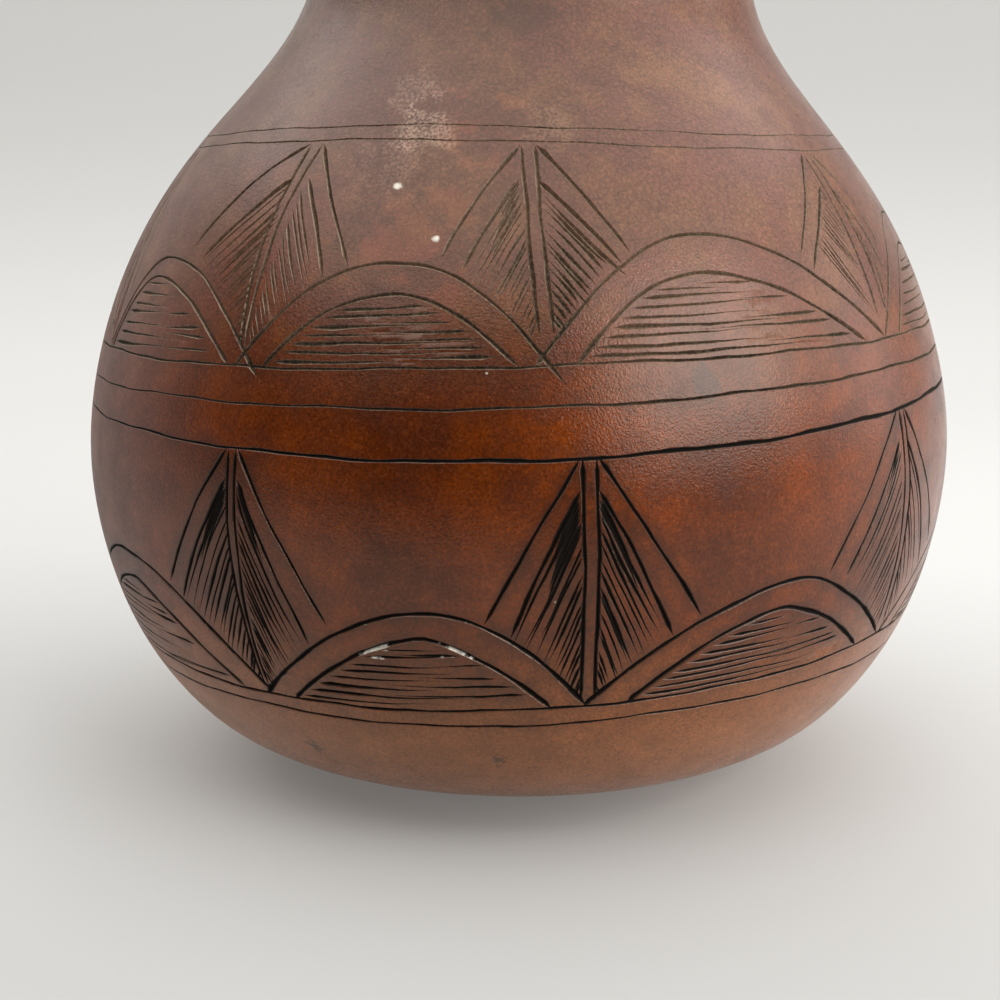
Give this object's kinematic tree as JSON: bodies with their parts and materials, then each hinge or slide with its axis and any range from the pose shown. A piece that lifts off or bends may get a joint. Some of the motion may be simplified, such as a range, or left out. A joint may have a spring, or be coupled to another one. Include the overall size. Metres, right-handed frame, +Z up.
{
  "type": "drinking gourd",
  "caption": "Hollow dried bottle gourd with a round body and open neck, carved round the outside with arches, hatched triangles and ring lines.",
  "frame": {"origin": "middle of the flat spot that the gourd stands on", "axes": "+Z up through the neck; -Y is the front that the picture shows, +X is to its right"},
  "size_m": [0.19, 0.1899, 0.2178],
  "materials": {
    "gourd_rind": "polished dried rind"
  },
  "bodies": {
    "root": {"gourd_shell": "gourd_rind"}
  },
  "joints": []
}
